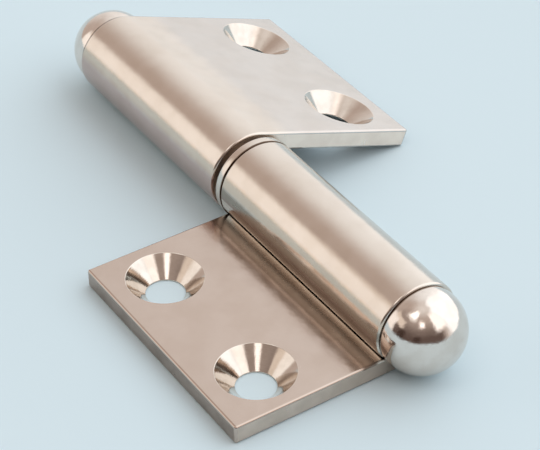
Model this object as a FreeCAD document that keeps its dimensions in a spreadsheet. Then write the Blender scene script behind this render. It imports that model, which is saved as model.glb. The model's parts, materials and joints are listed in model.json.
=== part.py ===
import FreeCAD, Part
import math
import os
import Sketcher

# Lift off hinge with ball tips, in millimetres.
# The pin axis is the Y axis. The frame leaf is towards -X and lies on its back.
# The door leaf is towards +X and +Y, and leans down until its free edge rests on the same plane.
# The origin is on the pin axis, halfway between the two knuckles.

# Driving sizes: name, number, meaning.
SIZES = (
    ("sheet_thickness", 3.0, "leaf sheet"),
    ("edge_chamfer", 0.3, "chamfer on the sheet's edges"),
    ("leaf_reach", 29.5, "pin axis to the free edge"),
    ("leaf_length", 39.3, "one leaf along the pin"),
    ("lip_gap", 0.3, "lip of the curl to the leaf's front, which it nearly closes on"),
    ("hole_diameter", 5.8, "screw hole at the leaf's back"),
    ("sink_angle", 90.0, "countersink, included angle, degrees"),
    ("sink_land", 0.2, "straight wall left below the countersink"),
    ("hole_edge", 8.4, "hole centre to the free edge"),
    ("hole_inset", 7.8, "hole centre to each end of the leaf"),
    ("pin_diameter", 7.3, "running part of the pin"),
    ("pin_clearance", 0.05, "radial clearance of what turns on the pin"),
    ("pin_lead", 0.9, "chamfer on both ends of the pin"),
    ("pin_heel_gap", 1.3, "pin heel to the spigot in the frame knuckle"),
    ("pin_end_gap", 2.7, "pin end to the spigot in the seated door knuckle"),
    ("washer_thickness", 1.4, "washer between the knuckles"),
    ("washer_chamfer", 0.2, "chamfer on the washer's rim"),
    ("lift_gap", 1.1, "how far the door knuckle stands off the washer"),
    ("ball_inset", 0.3, "how much smaller the ball is than the knuckle, on radius"),
    ("ball_rise", 1.1, "ball centre beyond the knuckle's end"),
    ("ball_chamfer", 0.25, "chamfer where the ball meets its seat"),
    ("spigot_length", 8.0, "spigot of a ball tip, inside the knuckle"),
    ("spigot_lead", 0.5, "chamfer on the spigot's end"),
)

# Sizes that follow from those, as expressions on the sheet's cells.
BORE = "(Sizes.pin_diameter / 2 + Sizes.pin_clearance)"
KNUCKLE = f"({BORE} + Sizes.sheet_thickness)"
SINK_DEPTH = "(Sizes.sheet_thickness - Sizes.sink_land)"
SINK_DIAMETER = f"(Sizes.hole_diameter + 2 * {SINK_DEPTH} * tan(Sizes.sink_angle / 2))"
HOLE_REACH = "(Sizes.leaf_reach - Sizes.hole_edge)"
KNUCKLE_FREE = "(Sizes.leaf_length - Sizes.spigot_length)"
PIN_HEEL = f"({KNUCKLE_FREE} - Sizes.pin_heel_gap)"
PIN_REACH = f"(Sizes.washer_thickness + {KNUCKLE_FREE} - Sizes.pin_end_gap)"
BALL = f"({KNUCKLE} - Sizes.ball_inset)"
HALF_SPLIT = "((Sizes.washer_thickness + Sizes.lift_gap) / 2)"

# The curl runs on past level until its lip, where the chamfer begins, is the named gap
# above the leaf's front.
LIP_ANGLE = f"asin(({BORE} - Sizes.lip_gap) / ({KNUCKLE} - Sizes.edge_chamfer))"

# The door leaf leans until its lower face, where the chamfer of the free edge begins,
# is level with the frame leaf's back.
TOUCH_REACH = "(Sizes.leaf_reach - Sizes.edge_chamfer)"
LEAN = f"(asin({KNUCKLE} / hypot({TOUCH_REACH}; {BORE})) + atan({BORE} / {TOUCH_REACH}))"

# Fixed parts of a sketch: the two axes, and the ends and centre of a line or arc.
ACROSS = -1
UP = -2
START = 1
END = 2
CENTRE = 3

# How near two places are to count as one.
SAME_PLACE = 1e-6


def make_sizes(doc):
    """Write the driving sizes into the sheet, one row each."""
    sheet = doc.addObject("Spreadsheet::Sheet", "Sizes")
    for row, (name, number, meaning) in enumerate(SIZES, start=1):
        sheet.set(f"A{row}", name)
        sheet.set(f"B{row}", str(number))
        sheet.set(f"C{row}", meaning)
        sheet.setAlias(f"B{row}", name)
    doc.recompute()
    return sheet


def worked(sheet, expression):
    """The number that an expression on the sheet comes to."""
    result = sheet.evalExpression(expression.replace("Sizes.", ""))
    return getattr(result, "Value", result)


def add_sketch(body, name, plane):
    """Add a sketch on one of the body's own origin planes."""
    sketch = body.newObject("Sketcher::SketchObject", name)
    support = next(item for item in body.Origin.OriginFeatures if item.Role == plane)
    sketch.AttachmentSupport = [(support, "")]
    sketch.MapMode = "FlatFace"
    return sketch


def line(sketch, begin, end):
    """Draw a line between two points given as (across, up)."""
    return sketch.addGeometry(
        Part.LineSegment(FreeCAD.Vector(*begin, 0), FreeCAD.Vector(*end, 0))
    )


def arc(sketch, centre, radius, begin, end):
    """Draw an anticlockwise arc between two angles in degrees."""
    circle = Part.Circle(FreeCAD.Vector(*centre, 0), FreeCAD.Vector(0, 0, 1), radius)
    return sketch.addGeometry(Part.ArcOfCircle(circle, math.radians(begin), math.radians(end)))


def polar(radius, angle):
    """Point at a radius and an angle in degrees, as (across, up)."""
    return (radius * math.cos(math.radians(angle)), radius * math.sin(math.radians(angle)))


def relate(sketch, *rules):
    """Add geometric rules, each a kind with what it joins."""
    for rule in rules:
        sketch.addConstraint(Sketcher.Constraint(*rule))


def drive(sketch, name, expression, kind, *arguments):
    """Add a dimension and bind it to the sheet."""
    index = sketch.addConstraint(Sketcher.Constraint(kind, *arguments))
    sketch.renameConstraint(index, name)
    sketch.setExpression(f".Constraints.{name}", expression)


def join_ends(sketch, lines):
    """Join a closed run of lines and arcs end to start."""
    for here, after in zip(lines, lines[1:] + lines[:1]):
        relate(sketch, ("Coincident", here, END, after, START))


def add_chamfer(body, base, name, wanted, size):
    """Chamfer the edges of a feature that a test picks out."""
    picked = [f"Edge{n}" for n, edge in enumerate(base.Shape.Edges, start=1) if wanted(edge)]
    chamfer = body.newObject("PartDesign::Chamfer", name)
    chamfer.Base = (base, picked)
    chamfer.setExpression("Size", size)
    return chamfer


def circle_radius(edge):
    """Radius of a round edge, and 0 for any other."""
    if edge.Degenerated or not isinstance(edge.Curve, Part.Circle):
        return 0
    return edge.Curve.Radius


def turn_about_y(body, name, sketch):
    """Revolve a half section of the XY plane about the Y axis."""
    revolution = body.newObject("PartDesign::Revolution", name)
    revolution.Profile = sketch
    revolution.ReferenceAxis = (sketch, ["V_Axis"])
    revolution.Angle = 360
    return revolution


def draw_leaf_section(body, sheet):
    """Flat strip whose end is rolled under, up and over, down to a lip just off the strip."""
    bore = worked(sheet, BORE)
    knuckle = worked(sheet, KNUCKLE)
    reach = worked(sheet, "leaf_reach")
    lip_angle = worked(sheet, LIP_ANGLE)
    bottom = -90
    last = 180 + lip_angle

    sketch = add_sketch(body, "LeafSection", "XZ_Plane")
    back = line(sketch, (-reach, -knuckle), (0, -knuckle))
    outside = arc(sketch, (0, 0), knuckle, bottom, last)
    lip = line(sketch, polar(knuckle, last), polar(bore, last))
    inside = arc(sketch, (0, 0), bore, bottom, last)
    front = line(sketch, (0, -bore), (-reach, -bore))
    edge = line(sketch, (-reach, -bore), (-reach, -knuckle))
    relate(
        sketch,
        ("Coincident", outside, CENTRE, ACROSS, START),
        ("Coincident", inside, CENTRE, ACROSS, START),
        ("Tangent", back, END, outside, START),
        ("Tangent", front, START, inside, START),
        ("Coincident", outside, END, lip, START),
        ("Coincident", lip, END, inside, END),
        ("Coincident", front, END, edge, START),
        ("Coincident", edge, END, back, START),
        ("PointOnObject", ACROSS, START, lip),
        ("Horizontal", back),
        ("Horizontal", front),
        ("Vertical", edge),
    )
    drive(sketch, "bore", BORE, "Radius", inside, bore)
    drive(sketch, "knuckle", KNUCKLE, "Radius", outside, knuckle)
    drive(sketch, "reach", "Sizes.leaf_reach", "DistanceX", edge, END, ACROSS, START, reach)
    drive(sketch, "lip", LIP_ANGLE, "Angle", lip, math.radians(lip_angle))
    return sketch


def draw_hole_centres(body, sheet, level):
    """Two screw holes on one face of the strip, one near each end."""
    reach = worked(sheet, HOLE_REACH)
    inset = worked(sheet, "hole_inset")
    length = worked(sheet, "leaf_length")
    radius = worked(sheet, "hole_diameter") / 2

    sketch = add_sketch(body, "HoleCentres", "XY_Plane")
    sketch.setExpression("AttachmentOffset.Base.z", f"-{level}")
    upright = FreeCAD.Vector(0, 0, 1)
    for name, back, expression in (
        ("near", inset, "Sizes.hole_inset"),
        ("far", length - inset, "Sizes.leaf_length - Sizes.hole_inset"),
    ):
        hole = sketch.addGeometry(Part.Circle(FreeCAD.Vector(-reach, -back, 0), upright, radius))
        drive(sketch, f"{name}_reach", HOLE_REACH, "DistanceX", hole, CENTRE, ACROSS, START, reach)
        drive(sketch, f"{name}_back", expression, "DistanceY", hole, CENTRE, ACROSS, START, back)
        drive(sketch, f"{name}_radius", "Sizes.hole_diameter / 2", "Radius", hole, radius)
    return sketch


def sharp_edge(edge):
    """True except along the two lines where strip and curl run smoothly into each other."""
    along = abs(edge.tangentAt(edge.FirstParameter).y) > 1 - SAME_PLACE
    return not (along and abs(edge.CenterOfMass.x) < SAME_PLACE)


def make_leaf(doc, sheet, label, sunk_from_back):
    """Make one leaf, from the XZ plane towards -Y.

    Both leaves are the same rolled strip. The frame leaf is countersunk on the face that
    its knuckle stands on, and the door leaf on the face that runs smoothly round its knuckle.
    """
    body = doc.addObject("PartDesign::Body", label)
    section = draw_leaf_section(body, sheet)
    rolled = body.newObject("PartDesign::Pad", "RolledSheet")
    rolled.Profile = section
    rolled.setExpression("Length", "Sizes.leaf_length")
    doc.recompute()
    broken = add_chamfer(body, rolled, "BrokenEdges", sharp_edge, "Sizes.edge_chamfer")
    doc.recompute()

    holes = body.newObject("PartDesign::Hole", "ScrewHoles")
    holes.Profile = draw_hole_centres(body, sheet, KNUCKLE if sunk_from_back else BORE)
    doc.recompute()
    holes.Reversed = sunk_from_back
    holes.Threaded = False
    holes.ThreadType = "None"
    holes.DepthType = "ThroughAll"
    holes.setExpression("Diameter", "Sizes.hole_diameter")
    holes.HoleCutType = "Countersink"
    holes.HoleCutCustomValues = True
    holes.setExpression("HoleCutDiameter", SINK_DIAMETER)
    holes.setExpression("HoleCutCountersinkAngle", "Sizes.sink_angle * 1 deg")
    doc.recompute()

    radius = worked(sheet, "hole_diameter") / 2
    shanks = 2 * math.pi * radius**2 * worked(sheet, "sheet_thickness")
    if broken.Shape.Volume - holes.Shape.Volume < shanks:
        raise RuntimeError(f"{label}: the screw holes don't go through")
    return body


def make_pin(doc, sheet):
    """Make the pin: a seat pressed into the frame knuckle, and a running part beyond it."""
    seat = worked(sheet, BORE)
    run = worked(sheet, "pin_diameter") / 2
    heel = worked(sheet, PIN_HEEL)
    reach = worked(sheet, PIN_REACH)
    lead = worked(sheet, "pin_lead")

    body = doc.addObject("PartDesign::Body", "hinge_pin")
    sketch = add_sketch(body, "PinSection", "XY_Plane")
    corners = (
        (0, -heel),
        (seat - lead, -heel),
        (seat, lead - heel),
        (seat, 0),
        (run, 0),
        (run, reach - lead),
        (run - lead, reach),
        (0, reach),
    )
    sides = [line(sketch, a, b) for a, b in zip(corners, corners[1:] + corners[:1])]
    heel_face, heel_lead, seat_side, shoulder, run_side, end_lead, end_face, axis = sides
    join_ends(sketch, sides)
    relate(
        sketch,
        ("PointOnObject", axis, START, UP),
        ("PointOnObject", axis, END, UP),
        ("Horizontal", heel_face),
        ("Vertical", seat_side),
        ("PointOnObject", shoulder, START, ACROSS),
        ("PointOnObject", shoulder, END, ACROSS),
        ("Vertical", run_side),
        ("Horizontal", end_face),
    )
    origin = (ACROSS, START)
    drive(sketch, "seat", BORE, "DistanceX", *origin, seat_side, END, seat)
    drive(sketch, "run", "Sizes.pin_diameter / 2", "DistanceX", *origin, run_side, START, run)
    drive(sketch, "heel", PIN_HEEL, "DistanceY", axis, END, *origin, heel)
    drive(sketch, "reach", PIN_REACH, "DistanceY", *origin, axis, START, reach)
    for name, lead_side in (("heel_lead", heel_lead), ("end_lead", end_lead)):
        ends = (lead_side, START, lead_side, END)
        across = ends if lead_side == heel_lead else (lead_side, END, lead_side, START)
        drive(sketch, f"{name}_across", "Sizes.pin_lead", "DistanceX", *across, lead)
        drive(sketch, f"{name}_up", "Sizes.pin_lead", "DistanceY", *ends, lead)
    turn_about_y(body, "TurnedPin", sketch)
    return body


def make_washer(doc, sheet):
    """Make the washer that the door knuckle sits on, as wide as the knuckles."""
    bore = worked(sheet, BORE)
    rim = worked(sheet, KNUCKLE)
    body = doc.addObject("PartDesign::Body", "washer")
    sketch = add_sketch(body, "WasherSection", "XZ_Plane")
    for name, expression, radius in (("hole", BORE, bore), ("rim", KNUCKLE, rim)):
        circle = sketch.addGeometry(
            Part.Circle(FreeCAD.Vector(0, 0, 0), FreeCAD.Vector(0, 0, 1), radius)
        )
        relate(sketch, ("Coincident", circle, CENTRE, ACROSS, START))
        drive(sketch, name, expression, "Radius", circle, radius)
    disc = body.newObject("PartDesign::Pad", "Disc")
    disc.Profile = sketch
    disc.Reversed = True
    disc.setExpression("Length", "Sizes.washer_thickness")
    doc.recompute()

    def on_rim(edge):
        return circle_radius(edge) > (bore + rim) / 2

    add_chamfer(body, disc, "BrokenRim", on_rim, "Sizes.washer_chamfer")
    return body


def make_ball_tip(doc, sheet, label):
    """Make a ball tip: a ball cut flat where it seats on the knuckle, and its spigot."""
    spigot = worked(sheet, BORE)
    depth = worked(sheet, "spigot_length")
    lead = worked(sheet, "spigot_lead")
    ball = worked(sheet, BALL)
    rise = worked(sheet, "ball_rise")
    chamfer = worked(sheet, "ball_chamfer")
    crown_start = math.degrees(math.asin((chamfer - rise) / ball))
    rim = polar(ball, crown_start)[0]

    body = doc.addObject("PartDesign::Body", label)
    sketch = add_sketch(body, "TipSection", "XY_Plane")
    end_face = line(sketch, (0, -depth), (spigot - lead, -depth))
    end_lead = line(sketch, (spigot - lead, -depth), (spigot, lead - depth))
    side = line(sketch, (spigot, lead - depth), (spigot, 0))
    seat_face = line(sketch, (spigot, 0), (rim - chamfer, 0))
    seat_edge = line(sketch, (rim - chamfer, 0), (rim, chamfer))
    crown = arc(sketch, (0, rise), ball, crown_start, 90)
    axis = line(sketch, (0, rise + ball), (0, -depth))
    join_ends(sketch, [end_face, end_lead, side, seat_face, seat_edge, crown, axis])
    relate(
        sketch,
        ("PointOnObject", axis, START, UP),
        ("PointOnObject", axis, END, UP),
        ("PointOnObject", crown, CENTRE, UP),
        ("Horizontal", end_face),
        ("Vertical", side),
        ("PointOnObject", seat_face, START, ACROSS),
        ("PointOnObject", seat_face, END, ACROSS),
    )
    origin = (ACROSS, START)
    drive(sketch, "spigot", BORE, "DistanceX", *origin, side, END, spigot)
    drive(sketch, "depth", "Sizes.spigot_length", "DistanceY", axis, END, *origin, depth)
    for name, size, slope, number in (
        ("lead", "Sizes.spigot_lead", end_lead, lead),
        ("chamfer", "Sizes.ball_chamfer", seat_edge, chamfer),
    ):
        ends = (slope, START, slope, END)
        drive(sketch, f"{name}_across", size, "DistanceX", *ends, number)
        drive(sketch, f"{name}_up", size, "DistanceY", *ends, number)
    drive(sketch, "ball", BALL, "Radius", crown, ball)
    drive(sketch, "rise", "Sizes.ball_rise", "DistanceY", *origin, crown, CENTRE, rise)
    turn_about_y(body, "TurnedTip", sketch)
    return body


def place(body, along, axis=(0, 1, 0), angle=None):
    """Slide a sub-part along the pin, and turn it about an axis through the origin."""
    # A turn of nothing would lose its axis, so the axis is given with a turn of its own,
    # which the bound angle then replaces.
    any_turn = 90
    body.Placement = FreeCAD.Placement(
        FreeCAD.Vector(0, 0, 0), FreeCAD.Rotation(FreeCAD.Vector(*axis), any_turn)
    )
    body.setExpression("Placement.Rotation.Angle", angle or "0 deg")
    body.setExpression("Placement.Base.y", along)


def write_parts(doc, bodies):
    """Check the whole document, then write one file for each sub-part."""
    for item in doc.Objects:
        if "Invalid" in item.State or "Error" in item.State:
            raise RuntimeError(f"{item.Name} failed: {item.State}")
    for body in bodies:
        if body.Shape.isNull() or not body.Shape.isValid() or len(body.Shape.Solids) != 1:
            raise RuntimeError(f"{body.Label} isn't one valid solid")
    os.makedirs("parts", exist_ok=True)
    for body in bodies:
        body.Shape.exportStep(f"parts/{body.Label}.step")
        print(body.Label, round(body.Shape.Volume, 1), "mm3")


def main():
    """Build the hinge and write its sub-parts."""
    doc = FreeCAD.newDocument("LiftOffHinge")
    sheet = make_sizes(doc)

    frame_leaf = make_leaf(doc, sheet, "frame_leaf", sunk_from_back=False)
    door_leaf = make_leaf(doc, sheet, "door_leaf", sunk_from_back=True)
    hinge_pin = make_pin(doc, sheet)
    washer = make_washer(doc, sheet)
    frame_tip = make_ball_tip(doc, sheet, "frame_ball_tip")
    door_tip = make_ball_tip(doc, sheet, "door_ball_tip")

    for body in (frame_leaf, hinge_pin, washer):
        place(body, f"-{HALF_SPLIT}")
    outer_end = f"({HALF_SPLIT} + Sizes.leaf_length)"
    place(door_leaf, outer_end, angle=f"180 deg + {LEAN}")
    place(frame_tip, f"-{outer_end}", axis=(0, 0, 1), angle="180 deg")
    place(door_tip, outer_end)
    doc.recompute()

    write_parts(doc, (frame_leaf, door_leaf, hinge_pin, washer, frame_tip, door_tip))


if __name__ == "__main__":
    main()
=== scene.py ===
"""Looks of a lift off hinge with ball tips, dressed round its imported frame."""

import json
import logging
import math
from contextlib import contextmanager
from dataclasses import dataclass, replace
from enum import Enum, IntEnum
from typing import Any, Callable, Iterator

import bpy
from mathutils import Matrix, Vector


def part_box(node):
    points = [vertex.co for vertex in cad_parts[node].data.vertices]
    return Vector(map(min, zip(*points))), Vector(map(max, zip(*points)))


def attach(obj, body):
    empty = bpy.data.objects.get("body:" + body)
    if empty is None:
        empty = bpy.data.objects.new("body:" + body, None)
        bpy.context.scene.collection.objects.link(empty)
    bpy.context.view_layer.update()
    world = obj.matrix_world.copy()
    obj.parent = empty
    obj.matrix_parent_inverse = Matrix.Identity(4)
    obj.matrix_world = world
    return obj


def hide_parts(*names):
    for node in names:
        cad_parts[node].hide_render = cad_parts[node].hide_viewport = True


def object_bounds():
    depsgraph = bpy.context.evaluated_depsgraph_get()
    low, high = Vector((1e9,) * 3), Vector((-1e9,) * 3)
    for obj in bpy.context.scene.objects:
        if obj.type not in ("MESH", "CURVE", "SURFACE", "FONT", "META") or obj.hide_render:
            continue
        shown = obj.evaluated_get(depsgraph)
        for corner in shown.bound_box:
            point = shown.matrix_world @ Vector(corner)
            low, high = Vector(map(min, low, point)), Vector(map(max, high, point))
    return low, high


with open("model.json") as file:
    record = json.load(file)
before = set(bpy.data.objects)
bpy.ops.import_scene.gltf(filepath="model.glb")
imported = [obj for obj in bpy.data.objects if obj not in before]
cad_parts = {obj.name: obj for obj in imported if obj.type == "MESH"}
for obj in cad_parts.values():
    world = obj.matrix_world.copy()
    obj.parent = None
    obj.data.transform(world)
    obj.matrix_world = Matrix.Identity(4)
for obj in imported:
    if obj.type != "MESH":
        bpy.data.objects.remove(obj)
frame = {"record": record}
CAD_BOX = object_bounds()

log = logging.getLogger("hinge")

MM = 0.001

# How near two places count as one, how near corners are merged, and how near a measured
# radius comes to the one that was asked for.
NEAR = 0.01 * MM
MERGED = 0.001 * MM
ABOUT = 0.05 * MM

# How near two angles count as one, and how well a normal lies along an axis.
SAME_ANGLE = 0.001
ALIGNED = 0.999

# Edges that turn by more than this are real edges, and the rest is curved surface.
EDGE_ANGLE = math.radians(30)

# Type names of the nodes that are used most, and the places of a Mix node's colour sockets.
MATH = "ShaderNodeMath"
MIX = "ShaderNodeMix"
NOISE = "ShaderNodeTexNoise"
RANGE = "ShaderNodeMapRange"
VECTOR = "ShaderNodeVectorMath"
UNDER, OVER, MIXED = 6, 7, 2

# A wave texture of scale 1 has this many radians of wave in a length of 1.
WAVE_RADIANS = 20

# Values of a noise between which the stained patches, and the dull smears, come up.
PATCHES_BETWEEN = (0.35, 0.7)
SMEARS_BETWEEN = (0.3, 0.7)

XYZ = tuple[float, float, float]


def linear(colour: str) -> XYZ:
    """Turn an sRGB hex colour into linear light.

    Args:
        colour: Six hex digits after a hash sign.

    Returns:
        Red, green and blue from 0 to 1.
    """
    parts = [int(colour[i : i + 2], 16) / 255 for i in (1, 3, 5)]
    return tuple(p / 12.92 if p <= 0.04045 else ((p + 0.055) / 1.055) ** 2.4 for p in parts)


def add_node(
    tree: bpy.types.NodeTree, kind: str, inputs: dict[Any, Any], out: Any = 0, **settings: Any
) -> bpy.types.NodeSocket:
    """Add a node, with its settings and links.

    Args:
        tree: The node tree that gets the node.
        kind: The node's type name.
        inputs: Number, colour or output socket for each input, by name or place.
        out: The output that is wanted, by name or place.
        settings: The node's own settings.

    Returns:
        That output of the new node.
    """
    node = tree.nodes.new(kind)
    for name, value in settings.items():
        setattr(node, name, value)
    for name, value in inputs.items():
        if isinstance(value, bpy.types.NodeSocket):
            tree.links.new(value, node.inputs[name])
        else:
            node.inputs[name].default_value = value
    return node.outputs[out]


class Part(Enum):
    """What is selected for an edit, as Blender's own three switches."""

    CORNERS = (True, False, False)
    EDGES = (False, True, False)
    FACES = (False, False, True)


def deselect_all() -> None:
    """Leave no object selected."""
    for piece in bpy.context.selected_objects:
        piece.select_set(False)


def only(piece: bpy.types.Object) -> None:
    """Make one object the only selected and the active one.

    Args:
        piece: The object.
    """
    deselect_all()
    piece.select_set(True)
    bpy.context.view_layer.objects.active = piece


@contextmanager
def editing(piece: bpy.types.Object) -> Iterator[None]:
    """Stay in edit mode on one object.

    Args:
        piece: The object to edit.

    Yields:
        Nothing.
    """
    only(piece)
    bpy.ops.object.mode_set(mode="EDIT")
    yield
    bpy.ops.object.mode_set(mode="OBJECT")


def select(piece: bpy.types.Object, part: Part, picked: list[bool]) -> None:
    """Select some corners, edges or faces of a piece, and nothing else of it.

    Args:
        piece: The piece, in object mode.
        part: What is selected.
        picked: Whether each of them is selected, in the mesh's order.
    """
    bpy.context.tool_settings.mesh_select_mode = part.value
    mesh = piece.data
    for kind, items in zip(Part, (mesh.vertices, mesh.edges, mesh.polygons)):
        items.foreach_set("select", picked if kind is part else [False] * len(items))


def select_faces(piece: bpy.types.Object, wanted: Callable[[Any], bool]) -> None:
    """Select the faces of a piece that a test picks."""
    select(piece, Part.FACES, [wanted(face) for face in piece.data.polygons])


def round_edges(
    piece: bpy.types.Object,
    wanted: Callable[[Vector, Vector], bool],
    radius: float,
    steps: int,
) -> None:
    """Round the real edges of a piece that a test picks.

    Args:
        piece: The piece, in object mode.
        wanted: Test on the places of an edge's two ends.
        radius: Width of the rounding.
        steps: Faces across the rounding.
    """
    bpy.context.tool_settings.mesh_select_mode = Part.EDGES.value
    with editing(piece):
        bpy.ops.mesh.select_all(action="DESELECT")
        bpy.ops.mesh.edges_select_sharp(sharpness=EDGE_ANGLE)
    mesh = piece.data
    picked = [
        edge.select and wanted(*(mesh.vertices[i].co for i in edge.vertices))
        for edge in mesh.edges
    ]
    select(piece, Part.EDGES, picked)
    with editing(piece):
        bpy.ops.mesh.bevel(
            offset=radius,
            offset_type="OFFSET",
            segments=steps,
            affect="EDGES",
            clamp_overlap=False,
        )


def extrude(piece: bpy.types.Object, move: XYZ) -> None:
    """Extrude the selected faces along a move."""
    with editing(piece):
        bpy.ops.mesh.extrude_region_move(TRANSFORM_OT_translate={"value": move})


def settle(piece: bpy.types.Object) -> None:
    """Take a piece's own place, turn and scale into its mesh."""
    only(piece)
    bpy.ops.object.transform_apply(location=True, rotation=True, scale=True)


def lay_along_pin(piece: bpy.types.Object, flipped: bool = False) -> None:
    """Lay a piece that was made on the Z axis along the pin.

    Args:
        piece: The piece.
        flipped: True where its upper end is to point along -Y.
    """
    piece.matrix_world = Matrix.Rotation(math.radians(90 if flipped else -90), 4, "X")
    settle(piece)


def apply_modifier(piece: bpy.types.Object, kind: str, **settings: Any) -> None:
    """Add a modifier to a piece and apply it.

    Args:
        piece: The piece.
        kind: The modifier's type.
        settings: The modifier's own settings.
    """
    only(piece)
    modifier = piece.modifiers.new(kind.title(), kind)
    for name, value in settings.items():
        setattr(modifier, name, value)
    bpy.ops.object.modifier_apply(modifier=modifier.name)


def close_up(piece: bpy.types.Object) -> None:
    """Merge the doubles of a closed piece, then point its faces outwards.

    Args:
        piece: The piece.
    """
    with editing(piece):
        bpy.ops.mesh.select_all(action="SELECT")
        bpy.ops.mesh.remove_doubles(threshold=MERGED)
        bpy.ops.mesh.normals_make_consistent(inside=False)


class Mark(Enum):
    """What kind of mark the maker's tool has left on a surface."""

    NONE = "none"
    TURNED = "turned"
    SHEARED = "sheared"


class Run(Enum):
    """Which way a painted line of light or shade runs, given as the directions across it."""

    ALONG_PIN = (1, 0, 1)
    ROUND_PIN = (0, 1, 0)


@dataclass(frozen=True)
class PaintedLight:
    """A line beside which light or shade is painted into the plating's colour.

    Attributes:
        place: A point of the line, before the piece is turned and slid to its place.
        full: Distance from the line at which the tint is whole.
        none: Distance at which it is gone. Where this is the smaller one, the line itself is
            clean and all that lies further off is tinted.
        share: Colour that the clean plating is multiplied by.
        run: Which way the line runs.
        haze: Roughness that the painted mark adds.
        fray: Width of its ragged border, as a share of the way from full to none.
        tooth: Size of the rags of that border.
    """

    place: XYZ
    full: float
    none: float
    share: str
    run: Run = Run.ALONG_PIN
    haze: float = 0.0
    fray: float = 0.6
    tooth: float = 1.5 * MM

    def lay(self, tree: bpy.types.NodeTree, place: Any, colour: Any, dullness: Any) -> tuple[Any, Any]:
        """Lay the painted light or shade over the plating.

        Args:
            tree: The material's node tree.
            place: Socket with the place on the piece.
            colour: Socket with the plating's colour.
            dullness: Socket with its roughness.

        Returns:
            Sockets with the painted colour and roughness.
        """
        offset = add_node(tree, VECTOR, {0: place, 1: self.place}, operation="SUBTRACT")
        across = add_node(tree, VECTOR, {0: offset, 1: self.run.value}, operation="MULTIPLY")
        away = add_node(tree, VECTOR, {0: across}, "Value", operation="LENGTH")
        border = abs(self.none - self.full) * self.fray
        inputs = {"Vector": place, "Scale": 1 / self.tooth, "Detail": 4}
        rags = add_node(tree, NOISE, inputs, "Fac")
        frayed = add_node(tree, MATH, {0: rags, 1: border, 2: away}, operation="MULTIPLY_ADD")
        inputs = {
            "Value": frayed,
            "From Min": self.none + border / 2,
            "From Max": self.full + border / 2,
        }
        mask = add_node(tree, RANGE, inputs, interpolation_type="SMOOTHSTEP")
        inputs = {0: mask, UNDER: colour, OVER: (*linear(self.share), 1)}
        tinted = add_node(tree, MIX, inputs, MIXED, data_type="RGBA", blend_type="MULTIPLY")
        if self.haze:
            inputs = {0: mask, 1: self.haze, 2: dullness}
            dullness = add_node(tree, MATH, inputs, operation="MULTIPLY_ADD")
        return tinted, dullness


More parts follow.
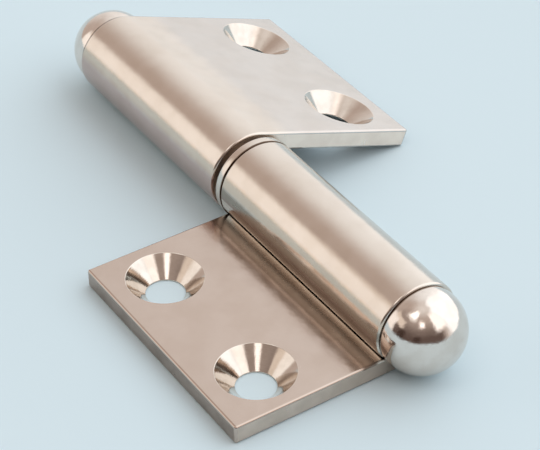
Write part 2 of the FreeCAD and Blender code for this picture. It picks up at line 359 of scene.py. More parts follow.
@dataclass(frozen=True)
class NickelFinish:
    """A nickel plated surface.

    Attributes:
        name: What the finish is, in a maker's words.
        tint: Colour of the plating.
        shade: Colour of its slightly stained patches.
        roughness: Mean roughness.
        spread: How far the roughness varies up and down.
        patch: Size of the patches.
        smear: Size of the duller smears, as a share of the patches'.
        wave: Length of the long waves left in the metal.
        wave_height: Height of those waves.
        ripple: Length of the short ripples on them.
        ripple_height: Height of the ripples.
        grit: Size of the fine grain. The real grain is a few hundredths of a millimetre, too
            fine to show, so it is drawn coarser.
        grit_height: Height of the fine grain.
        mark: Kind of tool mark.
        pitch: Distance from one tool mark to the next.
        mark_height: Height of the tool marks.
        waver: How much the tool marks waver.
    """

    name: str
    tint: str
    shade: str
    roughness: float
    spread: float
    patch: float = 5 * MM
    smear: float = 0.6
    wave: float = 9 * MM
    wave_height: float = 0.02 * MM
    ripple: float = 2.2 * MM
    ripple_height: float = 0.0
    grit: float = 0.35 * MM
    grit_height: float = 0.0012 * MM
    mark: Mark = Mark.NONE
    pitch: float = 0.25 * MM
    mark_height: float = 0.0
    waver: float = 1.2

    def material(
        self, turn: float, along: float, middle: XYZ, painted_light: tuple[PaintedLight, ...]
    ) -> bpy.types.Material:
        """Make the finish as a material.

        Args:
            turn: Turn about the pin axis that the piece has had.
            along: Slide along the pin axis that the piece has had.
            middle: Middle of the turned marks, before the piece was turned and slid.
            painted_light: Lines beside which light or shade is painted into the plating, laid on in
                this order.

        Returns:
            The material.
        """
        material = bpy.data.materials.new(self.name)
        material.use_nodes = True
        tree = material.node_tree
        shader = tree.nodes["Principled BSDF"].inputs
        shader["Metallic"].default_value = 1.0
        now = add_node(tree, "ShaderNodeTexCoord", {}, "Object")
        moves = {"Vector": now, "Location": (0, along, 0), "Rotation": (0, turn, 0)}
        place = add_node(tree, "ShaderNodeMapping", moves, vector_type="TEXTURE")
        colour, dullness = self.cloud(tree, place)
        for painted in painted_light:
            colour, dullness = painted.lay(tree, place, colour, dullness)
        tree.links.new(colour, shader["Base Color"])
        tree.links.new(dullness, shader["Roughness"])
        tree.links.new(self.relief(tree, place, middle), shader["Normal"])
        return material

    def cloud(self, tree: bpy.types.NodeTree, place: Any) -> tuple[Any, Any]:
        """Make the clean plating's cloudy colour and smeared roughness.

        Args:
            tree: The material's node tree.
            place: Socket with the place on the piece.

        Returns:
            Sockets with the colour and the roughness.
        """
        inputs = {"Vector": place, "Scale": 1 / self.patch, "Detail": 4}
        patches = add_node(tree, NOISE, inputs, "Fac")
        inputs = {"Value": patches, "From Min": PATCHES_BETWEEN[0], "From Max": PATCHES_BETWEEN[1]}
        shaded = add_node(tree, RANGE, inputs, interpolation_type="SMOOTHSTEP")
        inputs = {0: shaded, UNDER: (*linear(self.tint), 1), OVER: (*linear(self.shade), 1)}
        colour = add_node(tree, MIX, inputs, MIXED, data_type="RGBA")
        inputs = {"Vector": place, "Scale": 1 / (self.patch * self.smear), "Detail": 6}
        smears = add_node(tree, NOISE, inputs, "Fac")
        inputs = {
            "Value": smears,
            "From Min": SMEARS_BETWEEN[0],
            "From Max": SMEARS_BETWEEN[1],
            "To Min": self.roughness - self.spread,
            "To Max": self.roughness + self.spread,
        }
        return colour, add_node(tree, RANGE, inputs)

    def relief(self, tree: bpy.types.NodeTree, place: Any, middle: XYZ) -> Any:
        """Raise the waves, the ripples, the grain and the tool marks on each other.

        Args:
            tree: The material's node tree.
            place: Socket with the place on the piece.
            middle: Middle of turned marks.

        Returns:
            Socket with the normal.
        """
        layers = []
        for size, detail, height in (
            (self.wave, 1, self.wave_height),
            (self.ripple, 2, self.ripple_height),
            (self.grit, 2, self.grit_height),
        ):
            if height:
                inputs = {"Vector": place, "Scale": 1 / size, "Detail": detail}
                layers.append((add_node(tree, NOISE, inputs, "Fac"), height))
        if self.mark is not Mark.NONE:
            layers.append((self.tool_marks(tree, place, middle), self.mark_height))
        below: dict[str, Any] = {}
        for pattern, height in layers:
            inputs = {"Height": pattern, "Distance": height, **below}
            below = {"Normal": add_node(tree, "ShaderNodeBump", inputs)}
        return below["Normal"]

    def tool_marks(self, tree: bpy.types.NodeTree, place: Any, middle: XYZ) -> Any:
        """Add the marks that the tool has left.

        Args:
            tree: The material's node tree.
            place: Socket with the place on the piece.
            middle: Middle of turned marks.

        Returns:
            Socket with the pattern, from 0 to 1.
        """
        inputs = {"Vector": place, "Location": tuple(-x for x in middle)}
        moved = add_node(tree, "ShaderNodeMapping", inputs)
        if self.mark is Mark.TURNED:
            shape = {"wave_type": "RINGS", "rings_direction": "Z"}
        else:
            shape = {"wave_type": "BANDS", "bands_direction": "DIAGONAL"}
        inputs = {
            "Vector": moved,
            "Scale": math.tau / (WAVE_RADIANS * self.pitch),
            "Distortion": self.waver,
            "Detail": 2.0,
        }
        return add_node(tree, "ShaderNodeTexWave", inputs, "Fac", **shape)


# Nickel plated over cold rolled sheet: a warm grey mirror that is a little soft and cloudy.
SHEET_NICKEL = NickelFinish(
    name="Satin nickel plating",
    tint="#DAD0C6",
    shade="#D5CABF",
    roughness=0.18,
    spread=0.03,
    ripple_height=0.026 * MM,
)

# The same plating painted brighter on the roll just above the lip, as a painted highlight there.
PAINTED_HIGHLIGHT_NICKEL = replace(SHEET_NICKEL, name="Nickel with painted highlight", tint="#F0E6DB", shade="#E9DED2")

# Nickel over a sheared face: duller, with the fine scores of the shear, and darker, partly its own
# colour and partly painted shade.
# Real scores are about 0.1 mm apart, too fine to show, so they are drawn coarser.
SHEARED_NICKEL = NickelFinish(
    name="Nickel plated sheared edge",
    tint="#AD9F95",
    shade="#9C8E84",
    roughness=0.32,
    spread=0.05,
    patch=3 * MM,
    mark=Mark.SHEARED,
    pitch=0.35 * MM,
    mark_height=0.003 * MM,
)

# Nickel on the leaves' ends: the sheared edge's nickel painted paler, as painted light.
PAINTED_LIGHT_END_NICKEL = replace(SHEARED_NICKEL, name="Nickel end with painted light", tint="#D6C5B8", shade="#CABAAD")

# Nickel over a turned countersink: bright, with faint rings. Real rings are about 0.1 mm apart,
# too fine to show, so they are drawn coarser.
SUNK_NICKEL = NickelFinish(
    name="Nickel plated countersink",
    tint="#DDD4CB",
    shade="#D3C9BF",
    roughness=0.10,
    spread=0.02,
    patch=2 * MM,
    wave=3 * MM,
    wave_height=0.012 * MM,
    ripple=0.8 * MM,
    ripple_height=0.007 * MM,
    grit=0.3 * MM,
    grit_height=0.0025 * MM,
    mark=Mark.TURNED,
    pitch=0.22 * MM,
    mark_height=0.001 * MM,
)

# Nickel polished on the ball: a clear mirror, a little wavy from the hand polishing.
BRIGHT_NICKEL = NickelFinish(
    name="Bright polished nickel",
    tint="#E3DAD2",
    shade="#DAD0C7",
    roughness=0.11,
    spread=0.02,
    patch=2 * MM,
    wave=3.5 * MM,
    wave_height=0.05 * MM,
    ripple=1.1 * MM,
    ripple_height=0.025 * MM,
    grit_height=0.0008 * MM,
)

# Nickel over a ground pin: bright, with a faint haze.
PIN_NICKEL = NickelFinish(
    name="Nickel plated ground pin",
    tint="#D6CDC4",
    shade="#CBC1B7",
    roughness=0.16,
    spread=0.03,
    patch=3 * MM,
    wave_height=0.004 * MM,
)


# Painted shade, darker and browner than the plating: on the leaf along the lip, on the roll level with
# the pin axis, and faintly on the roll just above the lip. Places are on a leaf that lies on its back,
# towards -X.
CORNER_PAINTED_SHADE = PaintedLight((-7.6 * MM, 0.0, -4.6 * MM), 1.15 * MM, 1.65 * MM, "#B3ADA8", haze=0.1)
LIP_PAINTED_SHADE = PaintedLight((-6.66 * MM, 0.0, 0.75 * MM), 0.45 * MM, 1.25 * MM, "#BAB8B3", haze=0.1)
BURR_PAINTED_SHADE = PaintedLight((-6.15 * MM, 0.0, -2.65 * MM), 0.3 * MM, 0.75 * MM, "#D2CBC6")

# Painted sheen: the roll's flank, painted a little more yellow than the sheet, on the frame leaf and
# on the door leaf.
FRAME_FLANK_SHEEN = PaintedLight((-6.17 * MM, 0.0, 2.62 * MM), 0.5 * MM, 1.3 * MM, "#FFF3E8")
DOOR_FLANK_SHEEN = PaintedLight((6.69 * MM, 0.0, -0.31 * MM), 0.5 * MM, 1.3 * MM, "#FFF6EE")

# Painted shade: the door knuckle's side away from its leaf, painted a little darker and redder.
DOOR_FAR_SIDE_SHADE = PaintedLight((5.78 * MM, 0.0, 3.39 * MM), 2.2 * MM, 3.8 * MM, "#E6D8DA")


@dataclass
class Piece:
    """A piece that stands for one node of the frame.

    Attributes:
        node: The node, and the piece's name with _dressed after it.
        body: The body that it rides on.
        slot: The record's material slot. Not used.
        turn: Turn about the pin axis that brings it from its own place to the hinge's.
        along: Slide along the pin axis.
    """

    node: str
    body: str
    slot: str
    turn: float = 0.0
    along: float = 0.0

    def model(self) -> bpy.types.Object:
        """Model the piece in its own place."""
        raise NotImplementedError

    def dress(self, piece: bpy.types.Object) -> None:
        """Give the piece its materials."""
        raise NotImplementedError

    def coat(
        self,
        piece: bpy.types.Object,
        finish: NickelFinish,
        painted_light: tuple[PaintedLight, ...] = (),
        middle: XYZ = (0.0, 0.0, 0.0),
    ) -> None:
        """Add a finish to the piece as its next material.

        Args:
            piece: The piece, in its own place.
            finish: The finish.
            painted_light: Lines beside which light or shade is painted into the plating.
            middle: Middle of the turned marks.
        """
        piece.data.materials.append(finish.material(self.turn, self.along, middle, painted_light))

    def build(self) -> bpy.types.Object:
        """Model, dress and place the piece, and let it stand for its node.

        Returns:
            The finished piece.
        """
        piece = self.model()
        close_up(piece)
        only(piece)
        bpy.ops.object.shade_smooth()
        apply_modifier(piece, "WEIGHTED_NORMAL", mode="FACE_AREA", keep_sharp=False, weight=100)
        self.dress(piece)
        piece.name = f"{self.node}_dressed"
        piece.data.name = piece.name
        slide = Matrix.Translation((0, self.along, 0))
        piece.matrix_world = slide @ Matrix.Rotation(self.turn, 4, "Y")
        settle(piece)
        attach(piece, self.body)
        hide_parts(self.node)
        return piece


class LeafSlot(IntEnum):
    """Place of each finish in a leaf's list of materials."""

    SHEET = 0
    SHEARED = 1
    ENDS = 2
    PAINTED_HIGHLIGHT = 3
    FIRST_HOLE = 4


@dataclass
class RolledLeaf(Piece):
    """A leaf of sheet whose end is rolled into the knuckle, with two countersunk holes.

    It is modelled with the pin axis on the Y axis and the leaf towards -X and -Y, lying on
    its back, and then turned and slid to its place.

    Attributes:
        sunk_from_back: True where the holes are sunk from the face that runs round the knuckle.
        sheet: Thickness of the sheet.
        reach: Pin axis to the free edge.
        length: Leaf along the pin.
        knuckle: Outer radius of the knuckle.
        hole_reach: Pin axis to the holes' centres.
        hole_backs: How far back along the pin each hole is.
        hole_radius: Radius of a screw hole.
        hole_sides: Flats round a hole.
        land: Straight wall left below a countersink.
        spare: How far the tool that cuts a hole stands out of both faces.
        lip_angle: How far the lip has come down past the level of the pin axis.
        roll_steps: Flats that the roll is made of.
        droop: How far the shear has drawn the lip's outer corner in.
        droop_steps: Flats of the roll that are drawn in.
        droop_curve: Power by which the drawing in fades away from the lip.
        highlight_reach: How far up from the lip the roll has the painted highlight, as an angle.
        edge: Rounding of the sheet's edges.
        edge_steps: Faces across that rounding.
        rim: Rounding of the holes' rims.
        rim_steps: Faces across that rounding.
        painted_flat_shade: Colour that the flat leaf's plating is multiplied by, as painted shade.
        flat_from: Distance from the pin axis beyond which the leaf is all flat plating.
        flat_fade: How wide the change from the burnished knuckle to that is.
        painted_light: Painted shade and sheen beside the lip and on the knuckle.
        ends: Finish of the two ends along the pin.
    """

    sunk_from_back: bool = False
    sheet: float = 3.0 * MM
    reach: float = 29.5 * MM
    length: float = 39.3 * MM
    knuckle: float = 6.7 * MM
    hole_reach: float = 21.1 * MM
    hole_backs: tuple[float, ...] = (7.8 * MM, 31.5 * MM)
    hole_radius: float = 2.9 * MM
    hole_sides: int = 96
    land: float = 0.2 * MM
    spare: float = 1 * MM
    lip_angle: float = math.radians(33.0)
    roll_steps: int = 302
    droop: float = 0.32 * MM
    droop_steps: int = 15
    droop_curve: float = 1.15
    highlight_reach: float = math.radians(25)
    edge: float = 0.37 * MM
    edge_steps: int = 4
    rim: float = 0.06 * MM
    rim_steps: int = 2
    painted_flat_shade: str = "#E6DEDB"
    flat_from: float = 9.5 * MM
    flat_fade: float = 2.5 * MM
    painted_light: tuple[PaintedLight, ...] = (CORNER_PAINTED_SHADE, LIP_PAINTED_SHADE, BURR_PAINTED_SHADE, FRAME_FLANK_SHEEN)
    ends: NickelFinish = PAINTED_LIGHT_END_NICKEL

    @property
    def front(self) -> float:
        """Height of the leaf's front."""
        return self.sheet - self.knuckle

    @property
    def back(self) -> float:
        """Height of the leaf's back."""
        return -self.knuckle

    @property
    def roll(self) -> float:
        """Angle through which the strip's end is rolled."""
        return math.radians(270) + self.lip_angle

    def model(self) -> bpy.types.Object:
        """Roll the strip, cut its holes and round its edges.

        Returns:
            The leaf in its own place.
        """
        leaf = self.rolled_strip()
        for back in self.hole_backs:
            self.cut_hole(leaf, back)
        round_edges(leaf, lambda a, b: not self.near_hole((a + b) / 2), self.edge, self.edge_steps)
        round_edges(leaf, lambda a, b: self.near_hole((a + b) / 2), self.rim, self.rim_steps)
        return leaf

    def rolled_strip(self) -> bpy.types.Object:
        """Make the flat strip and roll its end round the pin axis.

        Returns:
            The rolled strip.
        """
        deselect_all()
        bpy.ops.mesh.primitive_cube_add(
            size=1,
            location=(-self.reach / 2, -self.length / 2, self.back + self.sheet / 2),
            scale=(self.reach, self.length, self.sheet),
        )
        strip = bpy.context.object
        settle(strip)
        select_faces(strip, lambda face: face.normal.x > ALIGNED)
        with editing(strip):
            bpy.ops.mesh.spin(
                steps=self.roll_steps, angle=self.roll, center=(0, 0, 0), axis=(0, 1, 0)
            )
        close_up(strip)
        self.draw_in_lip(strip)
        return strip

    def draw_in_lip(self, strip: bpy.types.Object) -> None:
        """Round the lip's outer corner inwards, as the shear leaves it.

        Args:
            strip: The rolled strip.
        """
        for count in range(self.droop_steps):
            inward = (1 - count / self.droop_steps) ** self.droop_curve
            angle = math.pi / 2 + self.lip_angle - count * self.roll / self.roll_steps
            corner = Vector((-math.sin(angle), 0, math.cos(angle))) * self.knuckle
            picked = [
                math.hypot(vertex.co.x - corner.x, vertex.co.z - corner.z) < NEAR
                for vertex in strip.data.vertices
            ]
            select(strip, Part.CORNERS, picked)
            smaller = 1 - inward * self.droop / self.knuckle
            with editing(strip):
                bpy.ops.transform.resize(value=(smaller, 1, smaller), center_override=(0, 0, 0))

    def cut_hole(self, leaf: bpy.types.Object, back: float) -> None:
        """Cut one countersunk hole right through the leaf.

        Args:
            leaf: The rolled strip.
            back: How far back along the pin the hole is.
        """
        sink = self.sheet - self.land + self.spare
        shank = self.land + self.spare
        sign = -1 if self.sunk_from_back else 1
        foot = self.front - self.land if self.sunk_from_back else self.back + self.land
        deselect_all()
        bpy.ops.mesh.primitive_cylinder_add(
            vertices=self.hole_sides,
            radius=self.hole_radius,
            depth=shank,
            location=(-self.hole_reach, -back, foot - sign * shank / 2),
        )
        cutter = bpy.context.object
        settle(cutter)
        select_faces(cutter, lambda face: face.normal.z * sign > ALIGNED)
        extrude(cutter, (0, 0, sign * sink))
        wider = (self.hole_radius + sink) / self.hole_radius
        with editing(cutter):
            bpy.ops.transform.resize(
                value=(wider, wider, 1),
                center_override=(-self.hole_reach, -back, foot + sign * sink),
            )
        close_up(cutter)
        apply_modifier(leaf, "BOOLEAN", operation="DIFFERENCE", object=cutter, solver="EXACT")
        bpy.data.objects.remove(cutter)

    def near_hole(self, place: Vector) -> bool:
        """Tell whether a place is on a hole or its rim.

        Args:
            place: The place, before the leaf is turned and slid.

        Returns:
            True where it is.
        """
        widest = self.hole_radius + self.sheet + self.edge
        return any(
            math.hypot(place.x + self.hole_reach, place.y + back) < widest
            for back in self.hole_backs
        )

    def dress(self, piece: bpy.types.Object) -> None:
        """Give sheet, sheared faces, ends, roll and countersinks their own nickel, with painted shade,
        sheen and highlight laid on.

        Args:
            piece: The leaf, in its own place.
        """
        # Painted shade on the flat leaf beyond flat_from, fading out over flat_fade towards the
        # knuckle.
        leaf = PaintedLight((0.0, 0.0, 0.0), self.flat_from, self.flat_from - self.flat_fade, self.painted_flat_shade)
        self.coat(piece, SHEET_NICKEL, (leaf, *self.painted_light))
        self.coat(piece, SHEARED_NICKEL)
        self.coat(piece, self.ends)
        # Painted highlight on the roll just above the lip, with painted shade at the lip's corner.
        self.coat(piece, PAINTED_HIGHLIGHT_NICKEL, (BURR_PAINTED_SHADE,))
        for back in self.hole_backs:
            self.coat(piece, SUNK_NICKEL, middle=(-self.hole_reach, -back, 0.0))
        for face in piece.data.polygons:
            face.material_index = self.finish_of(face)

    def finish_of(self, face: bpy.types.MeshPolygon) -> int:
        """Tell which of the leaf's finishes a face has.

        Args:
            face: The face.

        Returns:
            Place of the finish in the leaf's list.
        """
        if self.near_hole(face.center) and abs(face.normal.z) <= ALIGNED:
            offsets = [abs(face.center.y + back) for back in self.hole_backs]
            return LeafSlot.FIRST_HOLE + offsets.index(min(offsets))
        if abs(face.normal.y) > ALIGNED:
            return LeafSlot.ENDS
        if face.normal.x < -ALIGNED or self.on_lip(face):
            return LeafSlot.SHEARED
        # Faces just above the lip get the painted highlight.
        return LeafSlot.PAINTED_HIGHLIGHT if self.beside_lip(face) else LeafSlot.SHEET

    @staticmethod
    def fall(face: bpy.types.MeshPolygon) -> float:
        """Tell how far a face is below the level of the pin axis, as an angle on the leaf's side."""
        return -math.atan2(face.center.z, -face.center.x)

    def on_lip(self, face: bpy.types.MeshPolygon) -> bool:
        """Tell whether a face is the lip's sheared end."""
        return face.center.x < 0 and abs(self.fall(face) - self.lip_angle) < SAME_ANGLE

    def beside_lip(self, face: bpy.types.MeshPolygon) -> bool:
        """Tell whether a face is on the roll's outside, just above the lip.

        Args:
            face: The face.

        Returns:
            True where it is.
        """
        above_lip = self.lip_angle - self.highlight_reach < self.fall(face) < self.lip_angle
        away = math.hypot(face.center.x, face.center.z)
        on_roll = self.knuckle - self.sheet / 2 < away < self.knuckle + NEAR
        return face.center.x < 0 and above_lip and on_roll


@dataclass
class BallTip(Piece):
    """A ball cut flat where it seats on the knuckle, with a spigot.

    It is modelled with its axis on the Z axis, seat at nought, and then laid along the pin.

    Attributes:
        ball: Radius of the ball.
        rise: Centre of the ball beyond its seat.
        spigot: Radius of the spigot.
        depth: Length of the spigot.
        lead: Chamfer on the spigot's end.
        lead_steps: Faces across that chamfer.
        edge: Rounding where the ball meets its seat.
        edge_steps: Faces across that rounding.
        sides: Flats round the ball.
        rings: Flats from one pole of the ball to the other.
        seam_shade: Painted shade in the narrow groove round the seat.
        flipped: True where the ball points along -Y.
    """

    ball: float = 6.4 * MM
    rise: float = 1.1 * MM
    spigot: float = 3.7 * MM
    depth: float = 8.0 * MM
    lead: float = 0.5 * MM
    lead_steps: int = 2
    edge: float = 0.12 * MM
    edge_steps: int = 4
    sides: int = 128
    rings: int = 64
    # Painted shade in the groove where the ball meets its knuckle.
    seam_shade: PaintedLight = PaintedLight((0.0, 0.0, 0.0), 0.15 * MM, 0.45 * MM, "#6E5E52", Run.ROUND_PIN)
    flipped: bool = False

    def model(self) -> bpy.types.Object:
        """Cut the ball, draw out its spigot and lay it along the pin.

        Returns:
            The ball tip in its own place.
        """
        deselect_all()
        bpy.ops.mesh.primitive_uv_sphere_add(
            segments=self.sides, ring_count=self.rings, radius=self.ball, location=(0, 0, self.rise)
        )
        tip = bpy.context.object
        settle(tip)
        with editing(tip):
            bpy.ops.mesh.select_all(action="SELECT")
            bpy.ops.mesh.bisect(
                plane_co=(0, 0, 0), plane_no=(0, 0, 1), use_fill=True, clear_inner=True
            )
        seat = math.sqrt(self.ball**2 - self.rise**2)
        select_faces(tip, self.on_seat)
        with editing(tip):
            bpy.ops.mesh.inset(thickness=seat - self.spigot, depth=0)
        inner = self.spigot + ABOUT
        select_faces(tip, lambda face: self.on_seat(face) and widest(tip, face) < inner)
        extrude(tip, (0, 0, -self.depth))
        round_edges(
            tip, lambda a, b: max(a.z, b.z) < NEAR - self.depth, self.lead, self.lead_steps
        )
        round_edges(
            tip,
            lambda a, b: abs(a.z) < NEAR and abs(b.z) < NEAR and a.xy.length > seat - ABOUT,
            self.edge,
            self.edge_steps,
        )
        lay_along_pin(tip, self.flipped)
        return tip

    @staticmethod
    def on_seat(face: bpy.types.MeshPolygon) -> bool:
        """Tell whether a face lies in the plane of the seat."""
        return face.normal.z < -ALIGNED and abs(face.center.z) < NEAR

    def dress(self, piece: bpy.types.Object) -> None:
        """Give the ball its bright nickel, with painted shade round its seat."""
        self.coat(piece, BRIGHT_NICKEL, (self.seam_shade,))


@dataclass
class Washer(Piece):
    """The washer that the door knuckle turns on.

    It is modelled with its axis on the Z axis, then laid along the pin towards +Y.

    Attributes:
        rim: Outer radius.
        bore: Radius of its hole.
        thickness: Length along the pin, a hair less than the door leaf comes down to.
        edge: Rounding of its rims.
        edge_steps: Faces across that rounding.
        sides: Flats round it.
        seam_shade: Painted shade in the groove between the washer and the frame knuckle.
    """

    rim: float = 6.7 * MM
    bore: float = 3.7 * MM
    thickness: float = 1.39 * MM
    edge: float = 0.2 * MM
    edge_steps: int = 3
    sides: int = 160
    # Painted shade in the groove where the washer meets the frame knuckle.
    seam_shade: PaintedLight = PaintedLight((0.0, 0.0, 0.0), 0.12 * MM, 0.3 * MM, "#6E5E52", Run.ROUND_PIN)

    def model(self) -> bpy.types.Object:
        """Bore the disc and round its rims.

        Returns:
            The washer in its own place.
        """
        deselect_all()
        bpy.ops.mesh.primitive_cylinder_add(
            vertices=self.sides,
            radius=self.rim,
            depth=self.thickness,
            location=(0, 0, self.thickness / 2),
        )
        washer = bpy.context.object
        settle(washer)
        select_faces(washer, lambda face: abs(face.normal.z) > ALIGNED)
        with editing(washer):
            bpy.ops.mesh.inset(thickness=self.rim - self.bore, depth=0)
        inner = self.bore + ABOUT
        select_faces(
            washer,
            lambda face: abs(face.normal.z) > ALIGNED and widest(washer, face) < inner,
        )
        with editing(washer):
            bpy.ops.mesh.bridge_edge_loops()
        close_up(washer)
        round_edges(washer, lambda a, b: True, self.edge, self.edge_steps)
        lay_along_pin(washer)
        return washer

    def dress(self, piece: bpy.types.Object) -> None:
        """Give the washer the leaves' nickel, with painted shade at its seam."""
        self.coat(piece, SHEET_NICKEL, (self.seam_shade,))


@dataclass
class HingePin(Piece):
    """The pin: a seat in the frame knuckle and a running part beyond it.

    It is modelled with its axis on the Z axis, then laid along the pin axis.

    Attributes:
        seat: Radius in the frame knuckle.
        run: Radius of the running part.
        heel: Length of the seat.
        tip: Length of the running part.
        lead: Chamfer on both ends.
        edge: Rounding of the chamfers' edges.
        edge_steps: Faces across that rounding.
        sides: Flats round the pin.
    """

    seat: float = 3.7 * MM
    run: float = 3.65 * MM
    heel: float = 30.0 * MM
    tip: float = 30.0 * MM
    lead: float = 0.9 * MM
    edge: float = 0.15 * MM
    edge_steps: int = 2
    sides: int = 128

    def model(self) -> bpy.types.Object:
        """Draw out the running part and chamfer both ends.

        Returns:
            The pin in its own place.
        """
        deselect_all()
        bpy.ops.mesh.primitive_cylinder_add(
            vertices=self.sides, radius=self.seat, depth=self.heel, location=(0, 0, -self.heel / 2)
        )
        pin = bpy.context.object
        settle(pin)
        select_faces(pin, lambda face: face.normal.z > ALIGNED)
        with editing(pin):
            bpy.ops.mesh.inset(thickness=self.seat - self.run, depth=0)
        inner = self.run + NEAR
        select_faces(pin, lambda face: face.normal.z > ALIGNED and widest(pin, face) < inner)
        extrude(pin, (0, 0, self.tip))
        round_edges(
            pin,
            lambda a, b: min(a.z, b.z) > self.tip - NEAR or max(a.z, b.z) < NEAR - self.heel,
            self.lead,
            1,
        )
        round_edges(
            pin,
            lambda a, b: abs(a.z - b.z) < NEAR and abs(a.z) > self.lead,
            self.edge,
            self.edge_steps,
        )
        lay_along_pin(pin)
        return pin

    def dress(self, piece: bpy.types.Object) -> None:
        """Give the pin its ground and plated finish."""
        self.coat(piece, PIN_NICKEL)


def widest(piece: bpy.types.Object, face: bpy.types.MeshPolygon) -> float:
    """Measure how far from the Z axis a face of a piece reaches."""
    return max(piece.data.vertices[i].co.xy.length for i in face.vertices)


@dataclass(frozen=True)
class Zone:
    """A soft edged patch of light or shade on the studio's walls and ceiling.

    Attributes:
        azimuth: Middle, in degrees from +Y towards +X.
        elevation: Middle, in degrees above the floor.
        width: Half its width, in degrees of azimuth.
        height: Half its height, in degrees.
        soft_sides: How wide its soft left and right edges are, in degrees.
        soft_ends: How wide its soft upper and lower edges are, in degrees.
        colour: Its colour.
        strength: Its brightness, where 1 is white.
    """

    azimuth: float
    elevation: float
    width: float
    height: float
    soft_sides: float
    soft_ends: float
    colour: str
    strength: float

    def paint(self, tree: bpy.types.NodeTree, bearing: Any, rise: Any, wall: Any) -> Any:
        """Paint the zone over the wall.

        Args:
            tree: The world's node tree.
            bearing: Socket with a direction's azimuth.
            rise: Socket with its elevation.
            wall: Colour of the wall so far, or its socket.

        Returns:
            Socket with the painted wall's colour.
        """
        inputs = {0: bearing, 1: math.radians(self.azimuth)}
        turned = add_node(tree, MATH, inputs, operation="SUBTRACT")
        sideways = add_node(tree, MATH, {0: turned, 1: math.pi, 2: -math.pi}, operation="WRAP")
        inputs = {0: rise, 1: math.radians(self.elevation)}
        upwards = add_node(tree, MATH, inputs, operation="SUBTRACT")
        mask = 1.0
        for offset, half, soft in (
            (sideways, self.width, self.soft_sides),
            (upwards, self.height, self.soft_ends),
        ):
            inputs = {
                "Value": add_node(tree, MATH, {0: offset}, operation="ABSOLUTE"),
                "From Min": math.radians(half + soft / 2),
                "From Max": math.radians(half - soft / 2),
            }
            inside = add_node(tree, RANGE, inputs, interpolation_type="SMOOTHSTEP")
            mask = add_node(tree, MATH, {0: mask, 1: inside}, operation="MULTIPLY")
        colour = [part * self.strength for part in linear(self.colour)]
        return add_node(tree, MIX, {0: mask, UNDER: wall, OVER: (*colour, 1)}, MIXED, data_type="RGBA")


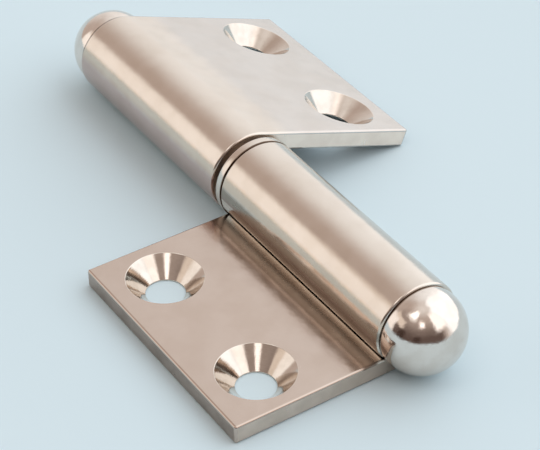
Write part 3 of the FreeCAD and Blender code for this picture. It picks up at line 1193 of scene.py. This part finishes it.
@dataclass
class Studio:
    """Floor, light and camera.

    Attributes:
        backdrop: Colour that the floor is to look, and of the wall low down.
        paper: Colour that the floor is painted for that.
        wall: Colour of the walls above it.
        zones: Patches of light and shade, painted over each other in this order.
        skirting: Elevation at which the floor's colour has half faded up the wall, in degrees.
        floor_size: Side of the floor.
        floor_gap: How far the floor is below the hinge.
        azimuth: The camera's place round the object, in degrees.
        elevation: The camera's height above the horizon, in degrees.
        distance: Camera to what it is aimed at.
        aim: What the camera is aimed at.
        lens: Focal length, in millimetres.
        film: Width of the camera's film, in millimetres.
        nearest: Nearest distance at which the camera sees.
    """

    backdrop: str = "#D4E3EA"
    paper: str = "#D7ECF6"
    wall: str = "#CDBCB2"
    zones: tuple[Zone, ...] = (
        # The light side of the room, and the ceiling.
        Zone(75, 20, 60, 50, 76, 30, "#FFFFFF", 1.16),
        Zone(0, 90, 181, 15, 1, 30, "#FFF8F3", 0.95),
        # The dim side, with two darker patches low down.
        Zone(-122, 10, 80, 33, 24, 57, "#6A5A54", 1.0),
        Zone(-88, 10, 9, 13, 8, 10, "#4A3B34", 1.0),
        Zone(-131, 15, 9, 8, 8, 8, "#4E3E38", 1.0),
        # Pale cards, which the knuckles mirror as bright bands.
        Zone(-62, 34, 22, 8, 8, 8, "#F4E4D6", 1.05),
        Zone(-47, 12, 15, 20, 8, 10, "#FFF8F2", 1.26),
        # Small lamps, which give the countersinks their streaks and the balls their glints.
        Zone(-140, 51, 10, 7, 10, 10, "#FFF6F2", 2.0),
        Zone(-88, 67, 22, 12, 22, 12, "#FFFCF8", 2.0),
        Zone(158, 50, 18, 22, 12, 16, "#FFF8F4", 1.6),
        # The large soft lamp, brightest on the balls and on the door leaf.
        Zone(98, 26, 43, 48, 20, 16, "#FBFDFF", 1.6),
    )
    skirting: float = 3.0
    floor_size: float = 4.0
    floor_gap: float = 0.02 * MM
    azimuth: float = -33.65
    elevation: float = 38.2
    distance: float = 295.2 * MM
    aim: XYZ = (-0.79 * MM, -5.65 * MM, -5.21 * MM)
    lens: float = 131.9
    film: float = 36.0
    nearest: float = 10 * MM

    def build(self) -> None:
        """Lay the floor, light the walls and set up the camera."""
        self.lay_floor()
        self.light_walls()
        self.set_camera()

    def lay_floor(self) -> None:
        """Lay a plain pale floor under the hinge."""
        deselect_all()
        below = CAD_BOX[0].z - self.floor_gap
        bpy.ops.mesh.primitive_plane_add(size=self.floor_size, location=(0, 0, below))
        floor = bpy.context.object
        floor.name = "floor"
        # Matt paper: one even colour with no shine, so that only shadows show on it.
        material = bpy.data.materials.new("Matt pale paper")
        material.use_nodes = True
        shader = material.node_tree.nodes["Principled BSDF"].inputs
        shader["Base Color"].default_value = (*linear(self.paper), 1)
        shader["Roughness"].default_value = 1.0
        shader["Specular IOR Level"].default_value = 0.0
        floor.data.materials.append(material)

    def light_walls(self) -> None:
        """Paint the walls and ceiling that light the hinge."""
        world = bpy.data.worlds.new("studio")
        bpy.context.scene.world = world
        world.use_nodes = True
        tree = world.node_tree
        toward = add_node(tree, "ShaderNodeTexCoord", {}, "Generated")
        parts = add_node(tree, "ShaderNodeSeparateXYZ", {0: toward}).node.outputs
        rise = add_node(tree, MATH, {0: parts["Z"]}, operation="ARCSINE")
        bearing = add_node(tree, MATH, {0: parts["X"], 1: parts["Y"]}, operation="ARCTAN2")
        light: Any = (*linear(self.wall), 1)
        for zone in self.zones:
            light = zone.paint(tree, bearing, rise, light)
        inputs = {"Value": rise, "From Min": math.radians(2 * self.skirting), "From Max": 0.0}
        low = add_node(tree, RANGE, inputs, interpolation_type="SMOOTHSTEP")
        inputs = {0: low, UNDER: light, OVER: (*linear(self.backdrop), 1)}
        light = add_node(tree, MIX, inputs, MIXED, data_type="RGBA")
        tree.links.new(light, tree.nodes["Background"].inputs["Color"])

    def set_camera(self) -> None:
        """Stand the camera where the photograph was taken from."""
        turn, lift = math.radians(self.azimuth), math.radians(self.elevation)
        away = Vector(
            (math.sin(turn) * math.cos(lift), -math.cos(turn) * math.cos(lift), math.sin(lift))
        )
        data = bpy.data.cameras.new("camera")
        data.lens = self.lens
        data.sensor_width = self.film
        data.clip_start = self.nearest
        camera = bpy.data.objects.new("camera", data)
        bpy.context.scene.collection.objects.link(camera)
        camera.location = Vector(self.aim) + away * self.distance
        camera.rotation_mode = "QUATERNION"
        camera.rotation_quaternion = (-away).to_track_quat("-Z", "Y")
        bpy.context.scene.camera = camera
        bpy.context.scene.view_settings.view_transform = "Standard"


def hinge_pieces() -> list[Piece]:
    """List the pieces of the hinge, with places taken from the frame.

    Returns:
        The pieces, in the order they are built.
    """
    low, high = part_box("frame_leaf")
    frame_end, outer = high.y, -low.y
    sizes = {"reach": -low.x, "length": high.y - low.y, "knuckle": high.z}
    mounts = {mount["name"]: mount for mount in frame["record"]["mounts"]}
    facing = mounts["door_leaf_screws"]["axis"]
    lean = math.atan2(facing[0], facing[2])
    return [
        RolledLeaf("frame_leaf", "frame", "satin_nickel", along=frame_end, **sizes),
        RolledLeaf(
            "door_leaf",
            "door",
            "satin_nickel",
            turn=lean,
            along=outer,
            sunk_from_back=True,
            # Painted light: the door leaf's flat is painted paler and bluer than the frame leaf's.
            painted_flat_shade="#F2F5FA",
            # Painted shade and sheen on the door leaf's plating.
            painted_light=(CORNER_PAINTED_SHADE, LIP_PAINTED_SHADE, BURR_PAINTED_SHADE, DOOR_FLANK_SHEEN, DOOR_FAR_SIDE_SHADE),
            # Painted light: the door leaf's ends are painted paler still than the frame leaf's.
            ends=replace(PAINTED_LIGHT_END_NICKEL, tint="#FBEADC", shade="#F2E0D2"),
            **sizes,
        ),
        HingePin("hinge_pin", "frame", "bright_nickel", along=frame_end),
        Washer("washer", "turning_washer", "satin_nickel", along=frame_end),
        BallTip("frame_ball_tip", "frame", "bright_nickel", along=-outer, flipped=True),
        BallTip("door_ball_tip", "door", "bright_nickel", along=outer),
    ]


def main() -> None:
    """Build the studio and every piece of the hinge, and report each."""
    logging.basicConfig(level=logging.INFO, format="%(name)s: %(message)s")
    studio = Studio()
    studio.build()
    log.info("studio: floor, %d zones and camera", len(studio.zones))
    for piece in hinge_pieces():
        dressed = piece.build()
        log.info("%s: %d faces, on %s", dressed.name, len(dressed.data.polygons), piece.body)


if __name__ == "__main__":
    main()
